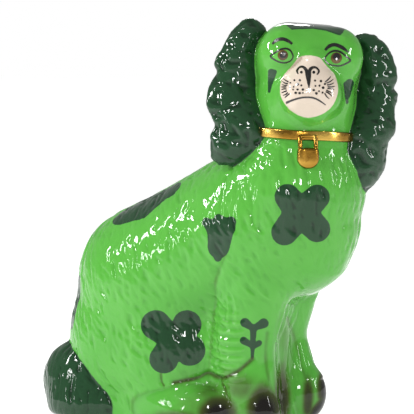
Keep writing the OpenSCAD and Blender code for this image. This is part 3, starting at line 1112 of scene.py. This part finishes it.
def makePart(name):
    mine = np.flatnonzero((quadPart == partNodes.index(name)) & ~overSlab)
    quads = skinQuads[mine]
    used, packed = np.unique(quads, return_inverse=True)
    packed = packed.reshape(quads.shape)
    points = shapedPoints[used]
    normals = shapedNormals[used]
    points, normals, faces = walled(points, normals, skinPoints[used], skinNormals[used], packed,
                                    wallThick.get(name, bodyWall))
    mesh = bpy.data.meshes.new(name + "_skin")
    mesh.from_pydata((points * mm).tolist(), [], faces)
    mesh.shade_smooth()
    for label, values in paints.items():
        attribute = mesh.attributes.new(label, "FLOAT", "POINT")
        data = np.tile(np.clip(values[used], -5, 5), len(points) // len(used)).astype(np.float32)
        attribute.data.foreach_set("value", data)
    mesh.normals_split_custom_set_from_vertices(normals.tolist())
    mesh.materials.append(glazeCoat)
    part = newObject(name + "_skin", mesh)
    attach(part, "root")
    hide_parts(name)
    print("part", name, len(faces), "faces")


for name in partNodes:
    makePart(name)
print("parts", round(time.time() - started, 1), "s")

gilding = {"gold": (0.78, 0.52, 0.12), "brown": (0.27, 0.14, 0.020), "rubbed": (0.17, 0.08, 0.012)}


def gildingMaterial():
    material, nodes, links = newMaterial("burnishedGilding")
    shader = nodes["Principled BSDF"]
    worn = noiseOn(nodes, links, 95.0, 4.0, 0.6)
    patch = noiseOn(nodes, links, 24.0, 2.0)
    thick = rampBetween(nodes, links, patch, 0.38, 0.66)
    rich = mixColour(nodes, links, thick, gilding["brown"], gilding["gold"])
    rich = mixColour(nodes, links, rampBetween(nodes, links, worn, 0.62, 0.78), rich, gilding["rubbed"])
    links.new(rich, shader.inputs["Base Color"])
    shader.inputs["Metallic"].default_value = 1.0
    links.new(rampRange(nodes, links, worn, 0.3, 0.7, 0.12, 0.28), shader.inputs["Roughness"])
    bumpOn(nodes, links, shader, noiseOn(nodes, links, 210.0, 2.0), 0.35, 0.0006)
    return material


gildingCoat = gildingMaterial()


def enamelMaterial(name, colour, second, roughness):
    material, nodes, links = newMaterial(name)
    shader = nodes["Principled BSDF"]
    cloud = noiseOn(nodes, links, 260.0, 3.0)
    links.new(mixColour(nodes, links, rampBetween(nodes, links, cloud, 0.4, 0.7), colour, second),
              shader.inputs["Base Color"])
    gloss = rampRange(nodes, links, cloud, 0.3, 0.7, roughness, roughness + 0.12)
    links.new(gloss, shader.inputs["Roughness"])
    return material


biscuit = {"pale": (0.74, 0.70, 0.62), "clay": (0.62, 0.56, 0.47), "grit": (0.30, 0.22, 0.15),
           "roughness": 0.85}


def biscuitMaterial():
    material, nodes, links = newMaterial("bareBiscuit")
    shader = nodes["Principled BSDF"]
    cloud = noiseOn(nodes, links, 60.0, 4.0, 0.65)
    grit = noiseOn(nodes, links, 900.0, 2.0)
    pale = rampBetween(nodes, links, cloud, 0.35, 0.7)
    colour = mixColour(nodes, links, pale, biscuit["clay"], biscuit["pale"])
    gritty = rampBetween(nodes, links, grit, 0.64, 0.74)
    colour = mixColour(nodes, links, gritty, colour, biscuit["grit"])
    links.new(colour, shader.inputs["Base Color"])
    shader.inputs["Roughness"].default_value = biscuit["roughness"]
    bumpOn(nodes, links, shader, grit, 0.5, 0.0003)
    return material


bareClay = biscuitMaterial()
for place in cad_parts["base_slab"].material_slots:
    place.material = bareClay

# collar and shackle: a rounded bar run along a path by one tree


def newTree(name, inputs):
    # the inputs' labels and kinds, besides the geometry that goes in and out
    tree = bpy.data.node_groups.new(name, "GeometryNodeTree")
    tree.interface.new_socket("Geometry", in_out="INPUT", socket_type="NodeSocketGeometry")
    for label, kind in inputs.items():
        tree.interface.new_socket(label, in_out="INPUT", socket_type="NodeSocket" + kind)
    tree.interface.new_socket("Geometry", in_out="OUTPUT", socket_type="NodeSocketGeometry")
    return tree, tree.nodes.new("NodeGroupInput"), tree.nodes.new("NodeGroupOutput")


def join(tree, wires):
    # node and output, node and input
    for start, output, end, entrance in wires:
        tree.links.new(start.outputs[output], end.inputs[entrance])


def barTree():
    inputs = {"Width": "Float", "Height": "Float", "Corner": "Float", "Finish": "Material"}
    tree, entry, leave = newTree("barAlongPath", inputs)
    nodes = tree.nodes
    upright = nodes.new("GeometryNodeSetCurveNormal")
    upright.mode = "Z_UP"
    outline = nodes.new("GeometryNodeCurvePrimitiveQuadrilateral")
    fillet = nodes.new("GeometryNodeFilletCurve")
    fillet.mode = "POLY"
    fillet.inputs["Count"].default_value = 5
    sweep = nodes.new("GeometryNodeCurveToMesh")
    sweep.inputs["Fill Caps"].default_value = True
    smooth = nodes.new("GeometryNodeSetShadeSmooth")
    real = nodes.new("GeometryNodeRealizeInstances")
    finish = nodes.new("GeometryNodeSetMaterial")
    join(tree, [
        (entry, "Geometry", upright, "Curve"),
        (entry, "Width", outline, "Width"),
        (entry, "Height", outline, "Height"),
        (outline, "Curve", fillet, "Curve"),
        (entry, "Corner", fillet, "Radius"),
        (upright, "Curve", sweep, "Curve"),
        (fillet, "Curve", sweep, "Profile Curve"),
        (sweep, "Mesh", smooth, "Geometry"),
        (smooth, "Geometry", real, "Geometry"),
        (real, "Geometry", finish, "Geometry"),
        (entry, "Finish", finish, "Material"),
        (finish, "Geometry", leave, "Geometry"),
    ])
    return tree


def runTree(source, tree, values, name):
    # sets the inputs, evaluates once, and keeps a plain mesh
    modifier = source.modifiers.new(tree.name, "NODES")
    modifier.node_group = tree
    for item in tree.interface.items_tree:
        if item.in_out == "INPUT" and item.name in values:
            modifier[item.identifier] = values[item.name]
    graph = bpy.context.evaluated_depsgraph_get()
    mesh = bpy.data.meshes.new_from_object(source.evaluated_get(graph))
    source.modifiers.remove(modifier)
    data = source.data
    bpy.data.objects.remove(source)
    if isinstance(data, bpy.types.Curve):
        bpy.data.curves.remove(data)
    else:
        bpy.data.meshes.remove(data)
    made = newObject(name, mesh)
    print("tree", name, len(mesh.polygons), "faces")
    return made


def pathCurve(points, closed):
    data = bpy.data.curves.new("path", "CURVE")
    data.dimensions = "3D"
    spline = data.splines.new("POLY")
    spline.points.add(len(points) - 1)
    for place, point in zip(points, spline.points):
        point.co = (*[c * mm for c in place], 1.0)
    spline.use_cyclic_u = closed
    return newObject("path", data)


collar = {"width": 3.8, "height": 0.80, "corner": 1.3, "lean": 3.2, "lift": 0.8, "proud": 0.7, "sunk": 0.1,
          "uneven": 0.25, "steps": 144, "bearings": 48}
collarLow, collarHigh = boxes["collar"]
bandHigh = (collarHigh[2] - collarLow[2]) * collar["height"]


def neckReach():
    # how far the clay reaches from the neck's axis under the band, all the way round
    local = shapedPoints - neckAt
    out, along = local @ faceAxis, local @ sideAxis
    level = local[:, 2] - collar["lift"] + along * math.sin(math.radians(collar["lean"]))
    near = (np.abs(level) < bandHigh / 2) & owned("head", "body")
    turn = np.arctan2(along[near], out[near]) % (2 * math.pi)
    bins = (turn / (2 * math.pi) * collar["bearings"]).astype(int) % collar["bearings"]
    far = np.hypot(out[near], along[near])
    reach = np.array([np.percentile(far[bins == k], 80) if (bins == k).any() else np.nan
                      for k in range(collar["bearings"])])
    usual = np.nanmedian(reach)
    reach = np.where(np.isnan(reach), usual, np.clip(reach, usual * 0.8, usual * 1.25))
    for step in range(3):
        reach = (np.roll(reach, 1) + 2 * reach + np.roll(reach, -1)) / 4
    return reach


neckRadii = neckReach()
bearingsAt = (np.arange(collar["bearings"]) + 0.5) * 2 * math.pi / collar["bearings"]
ring = []
for step in range(collar["steps"]):
    turn = 2 * math.pi * step / collar["steps"]
    out = np.interp(turn, bearingsAt, neckRadii, period=2 * math.pi) + collar["proud"]
    out -= collar["width"] * collar["sunk"]
    drop = -math.sin(turn) * out * math.sin(math.radians(collar["lean"]))
    spot = neckAt + (faceAxis * math.cos(turn) + sideAxis * math.sin(turn)) * out
    ring.append(spot + upAxis * (drop + collar["lift"] + collar["uneven"] * math.sin(5 * turn)))
ringAlong = float((ring[0] - neckAt) @ faceAxis)
bars = barTree()
collarBand = runTree(pathCurve(ring, True), bars,
                     {"Width": collar["width"] * mm, "Height": bandHigh * mm, "Corner": collar["corner"] * mm,
                      "Finish": gildingCoat}, "collar_band")
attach(collarBand, "root")
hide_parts("collar")

padlock = {"wide": 16.2, "high": 15.6, "thick": 8.8, "lift": 1.8, "rod": 3.3, "apart": 11.4, "ringsUp": 28,
           "around": 44}
# the posts: how high above the case, how far of the way to the band, and how much closer together
shacklePosts = [(-2.5, 0, 0), (1.5, 0, 0), (5.0, 0.3, 0), (8.0, 0.8, 1.0)]
lockLow, lockHigh = boxes["padlock_body"]
lockMiddle = (lockLow + lockHigh) / 2
lockTop = lockHigh[2] + padlock["lift"]


def padlockBody():
    # stacked ovals: a flat shoulder with a shallow dip, and a deep round bottom
    points, faces = [], []
    up, around = padlock["ringsUp"], padlock["around"]
    for row in range(up + 1):
        t = row / up
        z = lockTop - padlock["high"] * t
        shoulder = math.sin(math.pi / 2 * min(t / 0.10, 1.0)) ** 0.45
        bottom = math.sqrt(max(0.0, 1 - max(0.0, (t - 0.46) / 0.54) ** 2.4))
        wide = padlock["wide"] / 2 * shoulder * bottom * (0.93 + 0.07 * math.sin(math.pi * t))
        thick = padlock["thick"] / 2 * shoulder * bottom ** 0.8
        for k in range(around):
            turn = 2 * math.pi * k / around
            c, n = math.cos(turn), math.sin(turn)
            x = math.copysign(abs(c) ** 0.75, c) * wide
            y = math.copysign(abs(n) ** 0.85, n) * thick
            points.append(lockMiddle * (1, 1, 0) + sideAxis * x + faceAxis * y + upAxis * z)
    points.insert(0, points[0] * 0 + np.mean(points[:around], axis=0) - upAxis * 0.5)
    points.append(np.mean(points[-around:], axis=0))
    last = len(points) - 1
    for k in range(around):
        ahead = (k + 1) % around
        faces.append((0, 1 + ahead, 1 + k))
        faces.append((last, 1 + up * around + k, 1 + up * around + ahead))
        for row in range(up):
            a, b = 1 + row * around, 1 + (row + 1) * around
            faces.append((a + k, a + ahead, b + ahead, b + k))
    return np.array(points), faces


def solidPiece(name, points, faces, material):
    mesh = bpy.data.meshes.new(name)
    mesh.from_pydata((np.asarray(points) * mm).tolist(), [], faces)
    work = bmesh.new()
    work.from_mesh(mesh)
    bmesh.ops.remove_doubles(work, verts=work.verts, dist=0.00001)
    bmesh.ops.recalc_face_normals(work, faces=work.faces)
    work.to_mesh(mesh)
    work.free()
    mesh.shade_smooth()
    mesh.materials.append(material)
    return newObject(name, mesh)


lockPiece = solidPiece("padlock_case", *padlockBody(), gildingCoat)
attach(lockPiece, "root")
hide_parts("padlock_body")

# the shackle's posts stand in the case and bend back under the band
bandAt = neckAt + faceAxis * ringAlong
postReach = float((bandAt - lockMiddle) @ faceAxis)
shackleLine = []
for side in (-1, 1):
    foot = lockMiddle * (1, 1, 0) + sideAxis * side * padlock["apart"] / 2
    leg = [foot + upAxis * (lockTop + up) + faceAxis * postReach * inward - sideAxis * side * closer
           for up, inward, closer in shacklePosts]
    shackleLine += leg if side < 0 else leg[::-1]
shackleCurve = smoothLine(shackleLine, 6)
shackle = runTree(pathCurve(shackleCurve, False), bars,
                  {"Width": padlock["rod"] * mm, "Height": padlock["rod"] * mm,
                   "Corner": padlock["rod"] * 0.49 * mm, "Finish": gildingCoat}, "padlock_hasp")
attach(shackle, "root")
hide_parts("padlock_shackle")
print("gilding", round(time.time() - started, 1), "s")

# the painted face: flat brush strokes are laid over the clay by one tree


def ribbon(line, widths, steps=5, closed=False):
    # a brush stroke of varying width, three points across
    line = smoothLoop(line, steps) if closed else smoothLine(line, steps)
    if closed:
        line = np.concatenate([line, line[:1]])
    run = np.linspace(0, 1, len(line))
    wide = np.interp(run, np.linspace(0, 1, len(widths)), widths) / 2
    ahead = np.gradient(line, axis=0)
    ahead /= np.maximum(np.linalg.norm(ahead, axis=1, keepdims=True), 1e-6)
    across = np.stack([-ahead[:, 1], ahead[:, 0]], axis=1)
    if closed:
        across[0] = across[-1] = (across[0] + across[-1]) / 2
    rows = np.stack([line + across * wide[:, None], line, line - across * wide[:, None]], axis=1)
    points = rows.reshape(-1, 2)
    faces = []
    for i in range(len(line) - 1):
        for k in (0, 1):
            a = 3 * i + k
            faces.append((a, a + 1, a + 4, a + 3))
    return points, faces


def blob(middle, radius, stretch=1.0, around=18, rings=3):
    points, faces = [np.array(middle, float)], []
    for ringAt in range(1, rings + 1):
        for k in range(around):
            turn = 2 * math.pi * k / around
            way = np.array([math.cos(turn), stretch * math.sin(turn)])
            points.append(np.array(middle) + radius * ringAt / rings * way)
    for k in range(around):
        ahead = (k + 1) % around
        faces.append((0, 1 + k, 1 + ahead))
        for ringAt in range(rings - 1):
            a, b = 1 + ringAt * around, 1 + (ringAt + 1) * around
            faces.append((a + k, b + k, b + ahead, a + ahead))
    return np.array(points), faces


enamelBlack = enamelMaterial("blackEnamel", (0.006, 0.006, 0.006), (0.016, 0.014, 0.012), 0.16)
enamelAmber = enamelMaterial("amberEnamel", (0.050, 0.022, 0.005), (0.110, 0.070, 0.014), 0.12)
glintHighlightEnamel = enamelMaterial("glintHighlightWhite", (0.80, 0.78, 0.74), (0.70, 0.60, 0.55), 0.14)

faceStrokes = {  # across and up from the middle of the face: line, widths along it
    "browRight": ([(-28.2, 27.4), (-25.3, 30.2), (-21.0, 31.3), (-16.7, 30.1), (-13.0, 27.6)],
                  (1.5, 2.4, 2.6, 2.5, 1.7)),
    "browLeft": ([(12.2, 22.8), (15.5, 25.9), (19.9, 26.9), (25.4, 24.7), (30.2, 21.1)],
                 (1.9, 2.7, 2.6, 2.8, 1.0)),
    "noseRight": ([(-8.4, 4.6), (-9.2, 6.9), (-7.8, 9.2), (-5.4, 10.1), (-3.1, 8.7), (-1.1, 5.4)],
                  (0.9, 1.5, 1.4, 1.7, 2.4, 2.8)),
    "noseLeft": ([(6.1, 4.0), (7.5, 6.4), (6.3, 8.7), (4.0, 9.7), (1.4, 8.7), (-0.4, 5.4)],
                 (0.9, 1.5, 1.4, 1.7, 2.4, 2.8)),
    "noseBridge": ([(-0.9, 7.0), (-0.5, 2.8), (-0.2, -1.9), (0.0, -6.6)], (4.8, 4.2, 2.6, 0.5)),
    "mouth": ([(-17.5, -17.6), (-13.1, -15.7), (-7.6, -14.0), (-2.1, -13.3), (3.4, -13.8), (8.1, -15.9),
               (12.8, -19.2)], (1.9, 1.5, 1.3, 1.3, 1.3, 1.3, 0.7)),
}
lidStrokes = {
    "lidsRight": ([(-29.6, 18.2), (-25.3, 21.3), (-21.4, 23.5), (-17.5, 23.9), (-14.3, 22.3), (-12.4, 18.3),
                   (-13.5, 15.4), (-16.3, 13.7), (-20.2, 13.2), (-24.9, 14.6)],
                  (1.4, 1.2, 1.4, 1.4, 1.3, 0.9, 0.9, 1.0, 1.1, 1.1, 1.4)),
    "lidsLeft": ([(31.6, 15.0), (27.7, 12.3), (23.8, 10.9), (19.9, 10.9), (15.1, 12.2), (12.1, 15.6),
                  (13.6, 18.9), (16.7, 21.4), (20.6, 22.3), (24.6, 21.0), (28.1, 18.2)],
                 (1.4, 1.1, 1.1, 1.0, 1.0, 1.0, 1.2, 1.5, 1.5, 1.3, 1.4)),
}
# middle, count, first and last bearing, where a whisker starts and ends
whiskers = [((-9.5, -5.5), 8, 148, 222, 7.6, 12.2), ((8.2, -5.6), 8, 44, -50, 5.8, 11.8)]
freckles = [(-11.2, -0.3), (-7.1, -0.3), (-14.3, -2.3), (-8.7, -3.3), (-5.9, -4.2), (-14.7, -5.4),
            (-11.8, -5.3), (-8.8, -7.4), (-4.7, -7.4), (-12.2, -7.4), (-10.2, -9.9), (-7.2, -10.1),
            (-4.7, -9.9),
            (4.6, -0.5), (9.1, -0.9), (4.9, -4.6), (8.0, -4.4), (10.8, -6.0), (12.2, -3.1), (3.6, -7.8),
            (7.7, -8.6), (10.4, -9.7), (5.7, -10.3)]
blackMarks = [ribbon(line, widths) for line, widths in faceStrokes.values()]
blackMarks += [ribbon(line, widths, 4, True) for line, widths in lidStrokes.values()]
strokeRng = np.random.default_rng(11)
for middle, count, first, last, near, far in whiskers:
    for k in range(count):
        turn = math.radians(first + (last - first) * k / (count - 1))
        way = np.array([math.cos(turn), math.sin(turn)])
        start = np.array(middle) + way * near * strokeRng.uniform(0.94, 1.08)
        end = np.array(middle) + way * far * strokeRng.uniform(0.94, 1.04)
        bow = np.array([-way[1], way[0]]) * strokeRng.uniform(-0.5, 0.5)
        blackMarks.append(ribbon([start, (start + end) / 2 + bow, end], (0.95, 1.0, 0.45), 4))
for place in freckles:
    blackMarks.append(blob(place, strokeRng.uniform(0.65, 1.15), strokeRng.uniform(0.85, 1.15), 12, 2))
blackMarks += [blob((-5.9, 5.9), 1.05, 1, 12, 2), blob((3.6, 5.8), 1.15, 1, 12, 2)]
amberMarks = [blob((-20.2, 19.0), 4.0, 1.0), blob((20.9, 16.8), 4.3, 1.0)]
pupilMarks = [blob((-20.2, 19.2), 2.5, 1.05), blob((21.0, 17.6), 2.7, 1.05)]
# painted highlight: white dots on the pupils stand in for reflections in the eyes
glintHighlightMarks = [blob((21.0, 16.0), 0.75, 1.3, 12, 2), blob((-21.3, 20.4), 0.4, 1.2, 12, 2)]


def drapeTree():
    inputs = {"Painter": "Vector", "Sink": "Float", "Thickness": "Float", "Clay": "Object",
              "Finish": "Material"}
    tree, entry, leave = newTree("strokesOverClay", inputs)
    nodes = tree.nodes
    clay = nodes.new("GeometryNodeObjectInfo")
    clay.transform_space = "RELATIVE"
    place = nodes.new("GeometryNodeInputPosition")
    sight = nodes.new("ShaderNodeVectorMath")
    sight.operation = "SUBTRACT"
    cast = nodes.new("GeometryNodeRaycast")
    cast.inputs["Ray Length"].default_value = 20.0
    sink = nodes.new("ShaderNodeVectorMath")
    sink.operation = "SCALE"
    under = nodes.new("ShaderNodeVectorMath")
    under.operation = "SUBTRACT"
    lay = nodes.new("GeometryNodeSetPosition")
    raised = nodes.new("GeometryNodeExtrudeMesh")
    raised.mode = "FACES"
    raised.inputs["Individual"].default_value = False
    turned = nodes.new("GeometryNodeFlipFaces")
    together = nodes.new("GeometryNodeJoinGeometry")
    weld = nodes.new("GeometryNodeMergeByDistance")
    weld.inputs["Distance"].default_value = 0.000002
    real = nodes.new("GeometryNodeRealizeInstances")
    finish = nodes.new("GeometryNodeSetMaterial")
    join(tree, [
        (entry, "Clay", clay, "Object"),
        (place, "Position", sight, 0),
        (entry, "Painter", sight, 1),
        (clay, "Geometry", cast, "Target Geometry"),
        (entry, "Painter", cast, "Source Position"),
        (sight, "Vector", cast, "Ray Direction"),
        (cast, "Hit Normal", sink, 0),
        (entry, "Sink", sink, "Scale"),
        (cast, "Hit Position", under, 0),
        (sink, "Vector", under, 1),
        (entry, "Geometry", lay, "Geometry"),
        (cast, "Is Hit", lay, "Selection"),
        (under, "Vector", lay, "Position"),
        (lay, "Geometry", raised, "Mesh"),
        (entry, "Thickness", raised, "Offset Scale"),
        (lay, "Geometry", turned, "Mesh"),
        (raised, "Mesh", together, "Geometry"),
        (turned, "Mesh", together, "Geometry"),
        (together, "Geometry", weld, "Geometry"),
        (weld, "Geometry", real, "Geometry"),
        (real, "Geometry", finish, "Geometry"),
        (entry, "Finish", finish, "Material"),
        (finish, "Geometry", leave, "Geometry"),
    ])
    return tree


faceQuads = skinQuads[np.isin(quadPart, [partNodes.index("head_face"), partNodes.index("head_back"),
                                         partNodes.index("muzzle")])]
facePoints, facePacked = np.unique(faceQuads, return_inverse=True)
faceMesh = bpy.data.meshes.new("faceClay")
faceMesh.from_pydata((shapedPoints[facePoints] * mm).tolist(), [], facePacked.reshape(-1, 4).tolist())
faceClay = newObject("faceClay", faceMesh)
drape = drapeTree()
enamelSink = 0.12


def enamelPiece(name, marks, material, thickness):
    points, faces, first = [], [], 0
    for flat, strokeFaces in marks:
        flat = np.asarray(flat) + facePlace
        points += (flat[:, :1] * aside + flat[:, 1:2] * upAxis).tolist()
        for strokeFace in strokeFaces:
            a, b, c = (flat[i] for i in strokeFace[:3])
            turn = (b[0] - a[0]) * (c[1] - a[1]) - (b[1] - a[1]) * (c[0] - a[0])
            ordered = strokeFace if turn > 0 else strokeFace[::-1]
            faces.append(tuple(i + first for i in ordered))
        first += len(flat)
    mesh = bpy.data.meshes.new(name + "_flat")
    mesh.from_pydata((np.array(points) * mm).tolist(), [], faces)
    values = {"Painter": tuple(painter * mm), "Sink": enamelSink * mm, "Thickness": thickness * mm,
              "Clay": faceClay, "Finish": material}
    made = runTree(newObject(name + "_flat", mesh), drape, values, name)
    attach(made, "root")


enamelPiece("iris_enamel", amberMarks, enamelAmber, 0.34)
enamelPiece("pupil_enamel", pupilMarks, enamelBlack, 0.44)
enamelPiece("glint_enamel", glintHighlightMarks, glintHighlightEnamel, 0.54)
enamelPiece("face_strokes", blackMarks, enamelBlack, 0.32)
bpy.data.objects.remove(faceClay)
bpy.data.meshes.remove(faceMesh)
print("enamel", round(time.time() - started, 1), "s")
